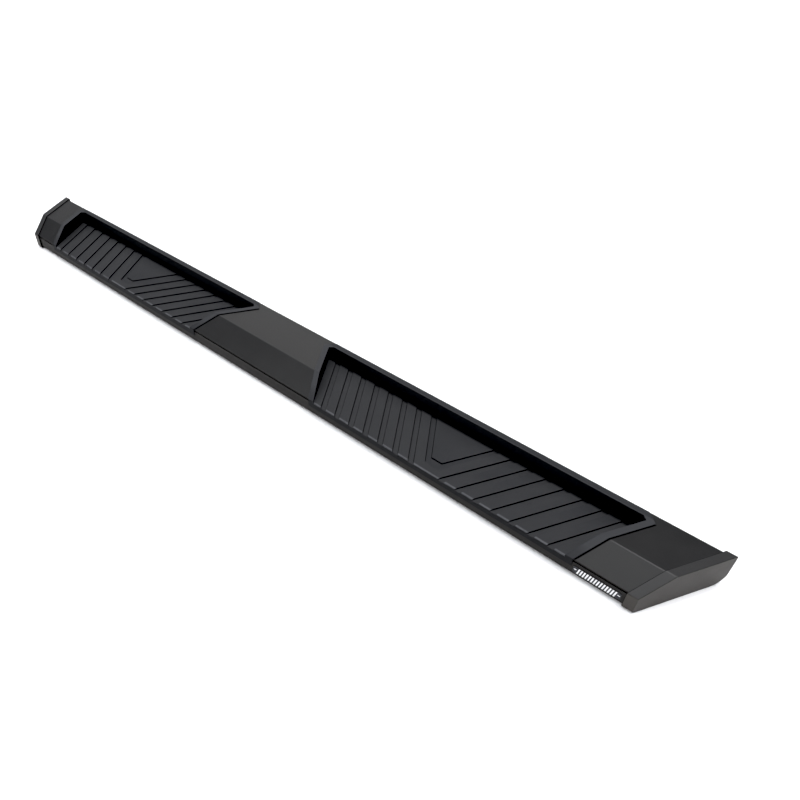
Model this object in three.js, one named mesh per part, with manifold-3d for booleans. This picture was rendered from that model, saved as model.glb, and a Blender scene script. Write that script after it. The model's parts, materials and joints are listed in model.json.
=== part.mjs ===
// A step-style running board for a crew-cab pickup: a hollow aluminium extrusion with raked
// ends, two moulded step trays let into it, an end cap plugged into each end, and two T-slots
// underneath in which six bracket nuts slide. Millimetres, +Z up, X along the vehicle,
// -Y towards the outside of the vehicle. The caps' undersides are at Z = 0.

import * as THREE from 'three';
import { mergeVertices } from 'three/addons/utils/BufferGeometryUtils.js';
import Module from 'manifold-3d';

const wasm = await Module();
wasm.setup();

// ---- driving dimensions ------------------------------------------------------------------

const WIDTH = 180;             // extrusion, inner face to nose face
const PROUD = 2.2;             // how far tray flanges and lips stand out from the extrusion
const GAP = 0.3;               // clearance between pieces that touch on the real board
const HEIGHT = 77;             // extrusion, underside to top face
const BASE = 3.8;              // underside of the extrusion
const TOP = BASE + HEIGHT;     // top face of the extrusion
const INNER = WIDTH / 2;       // inner face, towards the vehicle
const NOSE = -WIDTH / 2;       // nose face, away from the vehicle
const KNEE = INNER - 120;      // where the top face turns down towards the nose
const NOSE_TOP = TOP - 35.2;   // top edge of the nose face
const WALL = 3;                // extrusion wall
const RAKE = 0.6;              // plan slope of the ends, X per Y

const BODY_HALF = 1139;        // extrusion half length along the inner face
const CAP_BAND = 22.6;         // visible cap length along X
const CAP_FACE = 3.5;          // cap end wall
const CAP_JOINT = 0.6;         // gap between the extrusion's end and a cap's band

// How far a cap stands out from each edge of the extrusion's section, and its corner radii, in
// the order of SECTION below.
const CAP_GROWTH = [BASE, 2.4, 2.4, BASE, BASE];
const CAP_RADII = [29, 3, 6, 3, 8];
const PLUG_DEPTH = 25;         // how far the cap's skirts reach into the extrusion

const TRAY_CENTRES = { rear: -586, front: 562 };
const FLANGE_HALF = 465;       // half length of a tray's flange along the inner face
const BASIN_HALF = 448;        // half length of a tray's hollow along the inner face
const CUTOUT_HALF = 456;       // half length of the hole cut in the extrusion for a tray
const FLANGE_BACK = INNER - 4;
const BASIN_BACK = INNER - 20;
const CUTOUT_BACK = INNER - 13;
const TRAY_WALL = 2.6;
const LIP_BOTTOM = TOP - 54;   // lower edge of the lip that hangs over the nose
const TREAD_BACK_Z = TOP - 33; // tread height at the back wall
const TREAD_FALL = 5 / 162;    // drainage fall of the tread towards the nose
const TREAD_THICKNESS = 5.5;

const CHANNEL_DEPTH = 3;
const CHANNEL_WIDTH = 16.3;    // along X
const CHANNEL_PITCH = 44.3;    // along X
const CHANNELS_PER_SIDE = 7;
const CHEVRON_HALF = 97.5;     // half length of the centre pad, projected to the inner face
const CHEVRON_FRONT = INNER - 139;
const GUTTER_FRONT = INNER - 30; // the gutter along the back wall that the channels run into

const SHELF_TOP = BASE + 30;   // web that ties the nose wall to the inner wall
const SHELF_BOTTOM = SHELF_TOP - 2.5;

const SLOT_LINES = { inner: 35, outer: -45 };
const SLOT_MOUTH = 9;
const SLOT_WIDTH = 19;
const SLOT_HEIGHT = 7.5;
const NUT_STATIONS = { rear: -710, centre: 0, front: 710 };
const NUT_LENGTH = 30;
const NUT_THICKNESS = 6;
const NUT_HOLE = 4;            // radius, for an M8 bolt

const SCREW_ROWS = { inner: 58, outer: -68 };
const SCREW_PITCH = 330;       // along X, between tray screws
const ACCESS_HOLE = 7;         // radius, in the underside below each tray screw
const CAP_SCREW_ROWS = { inner: 9, outer: -19 };
const CAP_SCREW_SETBACK = 12;  // from the extrusion's raked end, along X

// Reveal grooves along the whole length: one in the inner face just under the top edge, one
// in the nose face just under its top edge. `out` is the way the face looks along Y.
const GROOVE_DEPTH = 2.7;
const GROOVES = [
  { face: INNER, out: 1, z: [TOP - 11, TOP - 6] },
  { face: NOSE, out: -1, z: [NOSE_TOP - 7, NOSE_TOP - 1.2] },
];

const BADGE = { x: 973.5, z: BASE + 18, length: 100, height: 18, thickness: 1.2, radius: 3 };

// ---- materials ---------------------------------------------------------------------------

const paint = new THREE.MeshStandardMaterial({ color: 0x28292b, roughness: 0.55, metalness: 0.2 });
const trayPlastic = new THREE.MeshStandardMaterial({ color: 0x303134, roughness: 0.6, metalness: 0 });
const capPlastic = new THREE.MeshStandardMaterial({ color: 0x2c2c2d, roughness: 0.65, metalness: 0 });
const zincSteel = new THREE.MeshStandardMaterial({ color: 0x9b9ea1, roughness: 0.35, metalness: 1 });
const blackSteel = new THREE.MeshStandardMaterial({ color: 0x1f2022, roughness: 0.45, metalness: 0.8 });
const aluminium = new THREE.MeshStandardMaterial({ color: 0xc9cbcc, roughness: 0.3, metalness: 1 });

// ---- solids ------------------------------------------------------------------------------

function solid(geometry) {
  const bare = geometry.clone();
  bare.deleteAttribute('normal');
  bare.deleteAttribute('uv');
  const welded = mergeVertices(bare, 1e-4);
  const mesh = new wasm.Mesh({
    numProp: 3,
    vertProperties: new Float32Array(welded.attributes.position.array),
    triVerts: new Uint32Array(welded.index.array),
  });
  return new wasm.Manifold(mesh);
}

function join(solids) {
  return solids.reduce((sum, next) => sum.add(next));
}

function cut(body, tools) {
  return tools.reduce((rest, tool) => rest.subtract(tool), body);
}

function geometryOf(body) {
  const mesh = body.getMesh();
  const geometry = new THREE.BufferGeometry();
  geometry.setAttribute('position', new THREE.BufferAttribute(mesh.vertProperties, 3));
  geometry.setIndex(new THREE.BufferAttribute(mesh.triVerts, 1));
  return geometry;
}

function box(x0, x1, y0, y1, z0, z1) {
  const geometry = new THREE.BoxGeometry(x1 - x0, y1 - y0, z1 - z0);
  geometry.translate((x0 + x1) / 2, (y0 + y1) / 2, (z0 + z1) / 2);
  return solid(geometry);
}

// An upright cone frustum: `r0` is its radius at z0 and `r1` at z1.
function cone(x, y, z0, z1, r0, r1, sides = 20) {
  const geometry = new THREE.CylinderGeometry(r1, r0, z1 - z0, sides);
  geometry.rotateX(Math.PI / 2);
  geometry.translate(x, y, (z0 + z1) / 2);
  return solid(geometry);
}

function cylinder(x, y, z0, z1, radius, sides = 20) {
  return cone(x, y, z0, z1, radius, radius, sides);
}

// A shape drawn in X and Y, extruded in Z.
function planPrism(points, z0, z1) {
  const shape = new THREE.Shape(points.map(([x, y]) => new THREE.Vector2(x, y)));
  const geometry = new THREE.ExtrudeGeometry(shape, { depth: z1 - z0, bevelEnabled: false });
  geometry.translate(0, 0, z0);
  return solid(geometry);
}

// A shape drawn in Y and Z, extruded along X.
function sectionPrism(points, x0, x1) {
  const shape = new THREE.Shape(points.map(([y, z]) => new THREE.Vector2(y, z)));
  const geometry = new THREE.ExtrudeGeometry(shape, { depth: x1 - x0, bevelEnabled: false });
  const alongX = new THREE.Matrix4().makeBasis(
    new THREE.Vector3(0, 1, 0),
    new THREE.Vector3(0, 0, 1),
    new THREE.Vector3(1, 0, 0),
  );
  geometry.applyMatrix4(alongX);
  geometry.translate(x0, 0, 0);
  return solid(geometry);
}

// ---- the section of the extrusion --------------------------------------------------------

// Corners counter-clockwise, each with its radius.
const SECTION = [
  { at: [INNER, BASE], radius: 26, steps: 8 },
  { at: [INNER, TOP], radius: 5, steps: 5 },
  { at: [KNEE, TOP], radius: 4, steps: 2 },
  { at: [NOSE, NOSE_TOP], radius: 1.5, steps: 2 },
  { at: [NOSE, BASE], radius: 6, steps: 5 },
];

function crossing([p, d], [q, e]) {
  const along = ((q[0] - p[0]) * e[1] - (q[1] - p[1]) * e[0]) / (d[0] * e[1] - d[1] * e[0]);
  return [p[0] + d[0] * along, p[1] + d[1] * along];
}

// The section's outline grown outwards by a distance, or shrunk where it is negative. An array
// gives each edge its own distance: inner face, top, slope, nose face, underside.
function outline(grow, radii) {
  const count = SECTION.length;
  const growth = Array.isArray(grow) ? grow : SECTION.map(() => grow);
  const edges = SECTION.map((corner, i) => {
    const [y0, z0] = corner.at;
    const [y1, z1] = SECTION[(i + 1) % count].at;
    const length = Math.hypot(y1 - y0, z1 - z0);
    const direction = [(y1 - y0) / length, (z1 - z0) / length];
    return [[y0 + direction[1] * growth[i], z0 - direction[0] * growth[i]], direction];
  });
  return SECTION.flatMap((corner, i) => {
    const before = edges[(i + count - 1) % count];
    const after = edges[i];
    const tip = crossing(before, after);
    const meanGrowth = (growth[(i + count - 1) % count] + growth[i]) / 2;
    const radius = radii ? radii[i] : Math.max(corner.radius + meanGrowth, 0.4);
    const turn = Math.acos(before[1][0] * after[1][0] + before[1][1] * after[1][1]);
    const reach = radius * Math.tan(turn / 2);
    const start = [tip[0] - before[1][0] * reach, tip[1] - before[1][1] * reach];
    const centre = [start[0] - before[1][1] * radius, start[1] + before[1][0] * radius];
    const first = Math.atan2(start[1] - centre[1], start[0] - centre[0]);
    return Array.from({ length: corner.steps + 1 }, (_, step) => {
      const angle = first + (turn * step) / corner.steps;
      return [centre[0] + radius * Math.cos(angle), centre[1] + radius * Math.sin(angle)];
    });
  });
}

function hull(grow, x0, x1) {
  return sectionPrism(outline(grow), x0, x1);
}

const chambers = {
  upperInner: { y: [KNEE + 1.5, INNER], z: [SHELF_TOP, TOP] },
  upperOuter: { y: [NOSE, KNEE - 1.5], z: [SHELF_TOP, TOP] },
  lowerInner: { y: [SLOT_LINES.inner + 1.5, INNER], z: [BASE, SHELF_BOTTOM] },
  lowerMiddle: { y: [SLOT_LINES.outer + 1.5, SLOT_LINES.inner - 1.5], z: [BASE, SHELF_BOTTOM] },
  lowerOuter: { y: [NOSE, SLOT_LINES.outer - 1.5], z: [BASE, SHELF_BOTTOM] },
};

// One hollow of the extrusion, or the same hollow shrunk all round by a margin.
function chamber({ y, z }, margin, x0, x1) {
  const room = box(x0 - 1, x1 + 1, y[0] + margin, y[1] - margin, z[0] + margin, z[1] - margin);
  return hull(-WALL - margin, x0, x1).intersect(room);
}

// Plan outline with both ends raked: `half` is the half length along the inner face. The two
// inner corners are cut off by `chamfer`, measured square to the vehicle.
function rakedPlan(centre, half, yFront, yBack, chamfer = 0) {
  const end = (y) => half + RAKE * (y - INNER);
  const right = [[end(yFront), yFront], [end(yBack - chamfer), yBack - chamfer]];
  if (chamfer > 0) {
    right.push([end(yBack) - chamfer * (RAKE + 1.0), yBack]);
  }
  const left = right.map(([x, y]) => [-x, y]).reverse();
  return [...right, ...left].map(([x, y]) => [centre + x, y]);
}

// ---- extrusion ---------------------------------------------------------------------------

function slotShell(line, x0, x1) {
  const side = SLOT_WIDTH / 2 + WALL;
  return box(x0, x1, line - side, line + side, BASE + 0.5, BASE + WALL + SLOT_HEIGHT + WALL);
}

function slotHollow(line, x0, x1) {
  const floor = BASE + WALL;
  const cavity = box(x0, x1, line - SLOT_WIDTH / 2, line + SLOT_WIDTH / 2, floor, floor + SLOT_HEIGHT);
  return cavity.add(box(x0, x1, line - SLOT_MOUTH / 2, line + SLOT_MOUTH / 2, BASE - 5, floor + 1));
}

function trayScrewPlaces() {
  return Object.entries(TRAY_CENTRES).flatMap(([tray, centre]) =>
    Object.entries(SCREW_ROWS).flatMap(([row, y]) =>
      [-1, 0, 1].map((step) => ({
        name: `${tray}_tray_screw_${row}_${step + 2}`,
        x: centre + step * SCREW_PITCH,
        y,
      })),
    ),
  );
}

function capScrewPlaces(side) {
  return Object.entries(CAP_SCREW_ROWS).map(([row, y]) => ({
    row,
    x: side * (BODY_HALF + RAKE * (y - INNER) - CAP_SCREW_SETBACK),
    y,
  }));
}

// A band along the board that starts `from` inside a groove's face and ends `to` inside it;
// a negative distance lies outside the face.
function bandAlong({ face, out, z }, from, to, rise, reach) {
  const [y0, y1] = [face - out * from, face - out * to].sort((a, b) => a - b);
  return box(-reach, reach, y0, y1, z[0] - rise, z[1] + rise);
}

function extrusion() {
  const reach = BODY_HALF + 40;
  const hollows = Object.values(chambers).map((room) => chamber(room, 0, -reach - 1, reach + 1));
  const shells = Object.values(SLOT_LINES).map((line) => slotShell(line, -reach, reach));
  const grooves = GROOVES.map((groove) => bandAlong(groove, -5, GROOVE_DEPTH, 0, reach + 5));
  const grooveBacks = GROOVES.map((groove) =>
    bandAlong(groove, 1, GROOVE_DEPTH + WALL, WALL, reach).intersect(hull(-1, -reach, reach)),
  );
  const slots = Object.values(SLOT_LINES).map((line) => slotHollow(line, -reach - 5, reach + 5));
  const wells = Object.values(TRAY_CENTRES).map((centre) =>
    planPrism(rakedPlan(centre, CUTOUT_HALF, NOSE - 20, CUTOUT_BACK, 10), SHELF_TOP, TOP + 20),
  );
  const screwHoles = trayScrewPlaces().flatMap(({ x, y }) => [
    cylinder(x, y, BASE - 1, BASE + WALL + 1, ACCESS_HOLE),
    cylinder(x, y, SHELF_BOTTOM - 1, SHELF_TOP + 1, 2.8, 12),
  ]);
  const capHoles = [-1, 1].flatMap((side) =>
    capScrewPlaces(side).flatMap(({ x, y }) => [
      cylinder(x, y, BASE - 1, BASE + WALL + 1, 2.6, 12),
      cone(x, y, BASE - 0.5, BASE + 2.6, 5.6, 2.5),
    ]),
  );
  const blank = join([cut(hull(0, -reach, reach), hollows), ...shells, ...grooveBacks]);
  const plan = planPrism(rakedPlan(0, BODY_HALF, NOSE - 20, INNER + 20), -20, TOP + 20);
  return cut(blank, [...grooves, ...slots, ...wells, ...screwHoles, ...capHoles]).intersect(plan);
}

// ---- step trays --------------------------------------------------------------------------

function treadHeight(y) {
  return TREAD_BACK_Z + TREAD_FALL * (y - BASIN_BACK);
}

// Everything above the tread plane lowered by `drop`, from yFront to yBack.
function aboveTread(drop, x0, x1, yFront, yBack) {
  const low = [yFront, yBack].map((y) => [y, treadHeight(y) - drop]);
  return sectionPrism([...low, [yBack, TOP + 30], [yFront, TOP + 30]], x0, x1);
}

// One slanting channel. `start` is its near side, measured from the tray's centre along the
// inner face, and `side` is the half of the tray that it lies in.
function channelPlan(centre, side, start, yFront, yBack) {
  const x = (edge, y) => centre + side * (edge + RAKE * (y - INNER));
  const points = [
    [x(start, yFront), yFront],
    [x(start + CHANNEL_WIDTH, yFront), yFront],
    [x(start + CHANNEL_WIDTH, yBack), yBack],
    [x(start, yBack), yBack],
  ];
  return side > 0 ? points : points.reverse();
}

function channels(centre) {
  const prism = (points) => planPrism(points, 0, TOP);
  const pieces = [-1, 1].flatMap((side) => {
    const straight = Array.from({ length: CHANNELS_PER_SIDE }, (_, i) =>
      prism(channelPlan(centre, side, CHEVRON_HALF + (i + 1) * CHANNEL_PITCH, NOSE - 20, BASIN_BACK)),
    );
    return [...straight, prism(channelPlan(centre, side, CHEVRON_HALF, CHEVRON_FRONT - 20, BASIN_BACK))];
  });
  const edge = (y) => CHEVRON_HALF + RAKE * (y - INNER) + 0.5;
  const turn = [
    [centre - edge(CHEVRON_FRONT - 20), CHEVRON_FRONT - 20],
    [centre + edge(CHEVRON_FRONT - 20), CHEVRON_FRONT - 20],
    [centre + edge(CHEVRON_FRONT), CHEVRON_FRONT],
    [centre - edge(CHEVRON_FRONT), CHEVRON_FRONT],
  ];
  const gutter = prism(rakedPlan(centre, BASIN_HALF, GUTTER_FRONT, BASIN_BACK, 9));
  const reach = FLANGE_HALF + 10;
  const above = aboveTread(CHANNEL_DEPTH, centre - reach, centre + reach, NOSE - 30, INNER);
  return join([...pieces, prism(turn), gutter]).intersect(above);
}

function tray(name, centre) {
  const reach = FLANGE_HALF + 10;
  const [x0, x1] = [centre - reach, centre + reach];
  const flangeOutline = rakedPlan(centre, FLANGE_HALF, NOSE - 20, FLANGE_BACK, 22);
  const flange = hull(PROUD, x0, x1)
    .subtract(hull(GAP, x0 - 1, x1 + 1))
    .intersect(planPrism(flangeOutline, LIP_BOTTOM, TOP + 20));
  const basinOutline = rakedPlan(centre, BASIN_HALF + TRAY_WALL, NOSE - 20, BASIN_BACK + TRAY_WALL, 10);
  const basin = hull(1, x0, x1)
    .intersect(planPrism(basinOutline, 0, TOP + 20))
    .intersect(aboveTread(TREAD_THICKNESS, x0, x1, NOSE - 30, INNER));
  const hollowOutline = rakedPlan(centre, BASIN_HALF, NOSE - 30, BASIN_BACK, 9);
  const hollow = planPrism(hollowOutline, 0, TOP + 20)
    .intersect(aboveTread(0, x0, x1, NOSE - 30, INNER));
  const places = trayScrewPlaces().filter((place) => place.name.startsWith(name));
  const bosses = places.map(({ x, y }) => cylinder(x, y, SHELF_TOP + GAP, treadHeight(y) - 4, 6));
  const pilots = places.map(({ x, y }) => cylinder(x, y, SHELF_TOP - 1, treadHeight(y) - 4, 2.4, 12));
  return cut(join([flange, basin, ...bosses]), [hollow, channels(centre), ...pilots]);
}

// ---- end caps ----------------------------------------------------------------------------

// Shears a solid to the raked end and puts it there, mirrored for the rear end.
function atEnd(body, side) {
  const shear = new THREE.Matrix4().set(
    side, side * RAKE, 0, side * (BODY_HALF + CAP_JOINT - RAKE * INNER),
    0, 1, 0, 0,
    0, 0, 1, 0,
    0, 0, 0, 1,
  );
  const geometry = geometryOf(body).applyMatrix4(shear);
  if (side < 0) {
    const index = geometry.index.array;
    for (let i = 0; i < index.length; i += 3) {
      [index[i], index[i + 1]] = [index[i + 1], index[i]];
    }
  }
  return solid(geometry);
}

function skirt(room, trim) {
  const tube = chamber(room, 0.5, -PLUG_DEPTH, CAP_BAND - 1)
    .subtract(chamber(room, 3, -PLUG_DEPTH - 1, CAP_BAND - CAP_FACE));
  return tube.intersect(box(-100, 100, NOSE + trim, INNER - trim, 0, TOP));
}

function endCap(side) {
  const shell = sectionPrism(outline(CAP_GROWTH, CAP_RADII), 0, CAP_BAND)
    .subtract(hull(-WALL, -1, CAP_BAND - CAP_FACE));
  const [plugFloor, plugRoof] = [BASE + WALL + 0.5, SHELF_BOTTOM - 0.5];
  const plug = box(-PLUG_DEPTH, CAP_BAND - 1, -31.5, 21.5, plugFloor, plugRoof)
    .subtract(box(-PLUG_DEPTH - 1, CAP_BAND - CAP_FACE, -28.5, 18.5, plugFloor + 3, plugRoof - 3));
  const skirts = [skirt(chambers.upperInner, 6.5), skirt(chambers.upperOuter, 6.5)];
  const places = capScrewPlaces(side);
  const bosses = places.map(({ x, y }) => cylinder(x, y, plugFloor, plugRoof, 5));
  const pilots = places.map(({ x, y }) => cylinder(x, y, 0, plugFloor + 14, 2.3, 12));
  return cut(join([atEnd(join([shell, ...skirts, plug]), side), ...bosses]), pilots);
}

// ---- fasteners, nuts and badge -----------------------------------------------------------

// A pan-head screw driven upwards through the shelf.
function trayScrew(x, y) {
  const seat = SHELF_BOTTOM - GAP;
  const head = cylinder(x, y, seat - 3, seat, 5);
  const shank = cylinder(x, y, seat - 0.5, seat + 7.5, 2.1, 12);
  const recess = cylinder(x, y, seat - 4, seat - 2, 2.3, 6);
  return head.add(shank).subtract(recess);
}

// A countersunk screw driven upwards, its head flush with the extrusion's underside.
function capScrew(x, y) {
  const head = cone(x, y, BASE + 0.2, BASE + 2.8, 4.7, 2.1);
  const shank = cylinder(x, y, BASE + 2.5, BASE + 15, 2, 12);
  const recess = cylinder(x, y, BASE - 1, BASE + 1.5, 1.8, 6);
  return head.add(shank).subtract(recess);
}

function slotNut(x, line) {
  const half = NUT_LENGTH / 2;
  const floor = BASE + WALL + GAP;
  const top = floor + NUT_THICKNESS;
  const [reach, neckReach] = [SLOT_WIDTH / 2 - GAP, SLOT_MOUTH / 2 - GAP];
  const block = box(x - half, x + half, line - reach, line + reach, floor, top);
  const neck = box(x - half, x + half, line - neckReach, line + neckReach, BASE + 1, floor + 1);
  return block.add(neck).subtract(cylinder(x, line, 0, top + 1, NUT_HOLE));
}

function badge() {
  const { x, z, length, height, thickness, radius } = BADGE;
  const shape = new THREE.Shape();
  const [u, v] = [length / 2 - radius, height / 2 - radius];
  shape.absarc(u, v, radius, 0, Math.PI / 2);
  shape.absarc(-u, v, radius, Math.PI / 2, Math.PI);
  shape.absarc(-u, -v, radius, Math.PI, 1.5 * Math.PI);
  shape.absarc(u, -v, radius, 1.5 * Math.PI, 2 * Math.PI);
  const options = { depth: thickness, bevelEnabled: false, curveSegments: 4 };
  const geometry = new THREE.ExtrudeGeometry(shape, options);
  geometry.rotateX(Math.PI / 2);
  geometry.translate(x, NOSE - GAP, z);
  return solid(geometry);
}

// ---- assembly ----------------------------------------------------------------------------

const board = new THREE.Group();

function add(name, body, material) {
  const mesh = new THREE.Mesh(geometryOf(body), material);
  mesh.name = name;
  board.add(mesh);
}

add('board_extrusion', extrusion(), paint);
for (const [name, centre] of Object.entries(TRAY_CENTRES)) {
  add(`${name}_step_tray`, tray(name, centre), trayPlastic);
}
for (const [name, side] of Object.entries({ rear: -1, front: 1 })) {
  add(`${name}_end_cap`, endCap(side), capPlastic);
  for (const { row, x, y } of capScrewPlaces(side)) {
    add(`${name}_cap_screw_${row}`, capScrew(x, y), blackSteel);
  }
}
for (const { name, x, y } of trayScrewPlaces()) {
  add(name, trayScrew(x, y), blackSteel);
}
for (const [station, x] of Object.entries(NUT_STATIONS)) {
  for (const [slot, line] of Object.entries(SLOT_LINES)) {
    add(`slot_nut_${station}_${slot}`, slotNut(x, line), zincSteel);
  }
}
add('name_badge', badge(), aluminium);

export default board;
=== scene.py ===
"""A black step-style running board: extruded aluminium body with raked ends, two moulded step
trays, moulded end caps, and bracket nuts in two slots underneath. Sizes and places are those of
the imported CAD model; the pieces made here add rounded edges, fine grooves, threads and surfaces.

Solids are worked out in millimetres in the CAD model's frame and scaled to metres when done.
"""

import json
import math

import bmesh
import bpy
from mathutils import Matrix, Vector


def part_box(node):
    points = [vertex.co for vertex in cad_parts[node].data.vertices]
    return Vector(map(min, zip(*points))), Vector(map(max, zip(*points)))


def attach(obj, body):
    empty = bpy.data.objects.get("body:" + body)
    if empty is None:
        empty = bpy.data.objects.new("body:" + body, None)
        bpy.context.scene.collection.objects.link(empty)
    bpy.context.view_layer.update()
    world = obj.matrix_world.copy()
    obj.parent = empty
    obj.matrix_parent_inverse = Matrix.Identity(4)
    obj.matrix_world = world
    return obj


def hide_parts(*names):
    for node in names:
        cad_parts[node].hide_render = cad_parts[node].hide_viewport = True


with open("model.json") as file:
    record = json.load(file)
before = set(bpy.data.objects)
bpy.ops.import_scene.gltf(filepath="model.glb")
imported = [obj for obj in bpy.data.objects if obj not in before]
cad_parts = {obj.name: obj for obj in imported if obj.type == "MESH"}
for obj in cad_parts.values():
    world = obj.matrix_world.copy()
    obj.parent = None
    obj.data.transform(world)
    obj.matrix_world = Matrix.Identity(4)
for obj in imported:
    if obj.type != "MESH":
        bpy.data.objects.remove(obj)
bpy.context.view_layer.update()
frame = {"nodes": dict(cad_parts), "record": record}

MM = 0.001


# ---- sizes read from the CAD model ---------------------------------------------------------


def box_mm(node):
    low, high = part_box(node)
    return low / MM, high / MM


def centre_mm(node):
    low, high = box_mm(node)
    return (low + high) / 2


body_low, body_high = box_mm("board_extrusion")
cap_low, cap_high = box_mm("front_end_cap")
_, tray_high = box_mm("front_step_tray")

BODY_HALF = body_high.x
INNER = body_high.y            # face towards the vehicle
NOSE = body_low.y              # face away from the vehicle
BASE = body_low.z              # underside of the extrusion
TOP = body_high.z
PROUD = tray_high.z - TOP      # how far a tray's flange and lip stand out
CAP_PROUD = NOSE - cap_low.y   # how far a cap stands out at the inner face, nose and underside
CAP_RISE = cap_high.z - TOP    # how far it stands out at the top and slope
TRAY_CENTRES = {end: centre_mm(f"{end}_step_tray").x for end in ("rear", "front")}

# ---- sizes that repeat the CAD model's, and those of the finer shapes -----------------------

GAP = 0.3
RAKE = 0.6                     # plan slope of the ends, X per Y
WALL = 3.0
KNEE = INNER - 120             # where the top turns down towards the nose
NOSE_TOP = TOP - 35.2

FLANGE_HALF = 465.0            # along the inner face, as are the next two
BASIN_HALF = 448.0
CUTOUT_HALF = 456.0
FLANGE_BACK = INNER - 4
BASIN_BACK = INNER - 20
CUTOUT_BACK = INNER - 13
TRAY_WALL = 2.6
TREAD_BACK_Z = TOP - 33
TREAD_FALL = 5 / 162
TREAD_THICKNESS = 5.5
LIP_BOTTOM = TOP - 54          # lower edge of the lip over the nose
NOSE_ROLL = 6.0                # radius where the tread turns down over the nose

CHANNEL_DEPTH = 3.0
CHANNEL_WIDTH = 16.3
CHANNEL_PITCH = 44.3
CHANNELS_PER_SIDE = 7
CHEVRON_HALF = 97.5
CHEVRON_FRONT = INNER - 139
CHEVRON_WIDTH = 20.0           # of the channel in front of the centre pad
GUTTER_FRONT = INNER - 30      # the gutter along the back wall that the channels run into
SEAM_WIDTH = 1.4               # the finer groove at the foot of each channel wall
SEAM_DEPTH = 1.6
PAD_EDGE = 0.45                # radius of the pads' edges along the channels

SHELF_TOP = BASE + 30
SHELF_BOTTOM = SHELF_TOP - 2.5
SLOT_LINES = {"inner": 35.0, "outer": -45.0}
SLOT_MOUTH = 9.0
SLOT_WIDTH = 19.0
SLOT_HEIGHT = 7.5
GROOVE_DEPTH = 2.7
GROOVES = (                    # face, way out along Y, lower edge, upper edge
    (INNER, 1, TOP - 11, TOP - 6),
    (NOSE, -1, NOSE_TOP - 7, NOSE_TOP - 1.2),
)
FAR = BODY_HALF + 60           # past everything, along X

FLANGE_CORNER = 22.0           # how much of each inner corner is cut off in plan
BASIN_CORNER = 9.0
CUTOUT_CORNER = 10.0
CHANNEL_ROLL = 3.0             # radius where a channel runs out over the nose
TRAY_EDGE = 0.5                # radius of a tray's outer edges
TRAY_BOSS = 6.0                # radii of the screw bosses under a tray and of their pilot holes
TRAY_PILOT = 2.4
SHELF_HOLE = 2.8               # radius of the tray screws' holes in the shelf

CAP_BAND = 22.6                # visible length of a cap
CAP_JOINT = 0.6                # gap between the extrusion's end and a cap's band
CAP_FACE = 3.5                 # thickness of a cap's end wall
CAP_INBOARD_EDGE = 0.8         # radii of a cap's two rims
CAP_OUTBOARD_EDGE = 1.5
CAP_BOSS = 5.0                 # radii of the screw bosses in a cap's plug and of their pilot holes
CAP_PILOT = 2.3
PLUG_DEPTH = 25.0              # how far a cap reaches into the extrusion
PLUG_GAP = 0.5                 # clearance round what reaches in
PLUG_SPAN = (-31.5, 21.5)      # of the box that plugs in between the slots, along Y
PLUG_WALL = 3.0
SKIRT_WALL = 2.5
SKIRT_CLEAR = 6.5              # how far the skirts stay from both faces, behind the grooves

SECTION = (                    # corner Y, corner Z, radius, steps round it
    (INNER, BASE, 26.0, 20),
    (INNER, TOP, 5.0, 10),
    (KNEE, TOP, 6.0, 8),
    (NOSE, NOSE_TOP, 1.5, 5),
    (NOSE, BASE, 6.0, 10),
)
CAP_RADII = (29.0, 3.0, 6.0, 3.0, 8.0)


# ---- solids --------------------------------------------------------------------------------


def add_mesh(name, vertices, faces):
    """A closed mesh with its faces pointing outwards."""
    mesh = bpy.data.meshes.new(name)
    mesh.from_pydata([tuple(v) for v in vertices], [], faces)
    shape = bmesh.new()
    shape.from_mesh(mesh)
    bmesh.ops.recalc_face_normals(shape, faces=shape.faces)
    shape.to_mesh(mesh)
    shape.free()
    made = bpy.data.objects.new(name, mesh)
    bpy.context.scene.collection.objects.link(made)
    return made


def loft(rings, name="solid"):
    """A solid through rings that all have the same number of points, closed at both ends."""
    count = len(rings[0])
    vertices = [point for ring in rings for point in ring]
    faces = [tuple(range(count))]
    for start in range(0, len(vertices) - count, count):
        for i in range(count):
            j = (i + 1) % count
            faces.append((start + i, start + j, start + count + j, start + count + i))
    faces.append(tuple(range(len(vertices) - count, len(vertices))))
    return add_mesh(name, vertices, faces)


def box(x0, x1, y0, y1, z0, z1):
    corners = [(x0, y0), (x1, y0), (x1, y1), (x0, y1)]
    return plan_prism(corners, z0, z1)


def plan_prism(points, z0, z1):
    """A shape drawn in X and Y, with its height along Z."""
    return loft([[(x, y, z) for x, y in points] for z in (z0, z1)])


def section_prism(points, x0=-FAR, x1=FAR):
    """A shape drawn in Y and Z, with its length along X."""
    return loft([[(x, y, z) for y, z in points] for x in (x0, x1)])


def turned(x, y, profile, sides=40):
    """A solid of revolution about an upright axis. The profile is a list of (radius, z)."""
    angles = [2 * math.pi * i / sides for i in range(sides)]
    rings = [
        [(x + radius * math.cos(a), y + radius * math.sin(a), z) for a in angles]
        for radius, z in profile
    ]
    return loft(rings)


def threaded(x, y, z0, z1, radius, pitch, depth, sides=28, per_turn=6):
    """An upright screw thread: the crest is at the given radius."""
    rings = []
    count = max(2, round((z1 - z0) / pitch * per_turn))
    for row in range(count + 1):
        z = z0 + (z1 - z0) * row / count
        ring = []
        for i in range(sides):
            turn = ((z - z0) / pitch - i / sides) % 1.0
            r = radius - depth * abs(2 * turn - 1)
            angle = 2 * math.pi * i / sides
            ring.append((x + r * math.cos(angle), y + r * math.sin(angle), z))
        rings.append(ring)
    return loft(rings)


def bake(shape):
    """Applies an object's modifiers."""
    graph = bpy.context.evaluated_depsgraph_get()
    mesh = bpy.data.meshes.new_from_object(shape.evaluated_get(graph))
    shape.modifiers.clear()
    shape.data = mesh
    return shape


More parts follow.
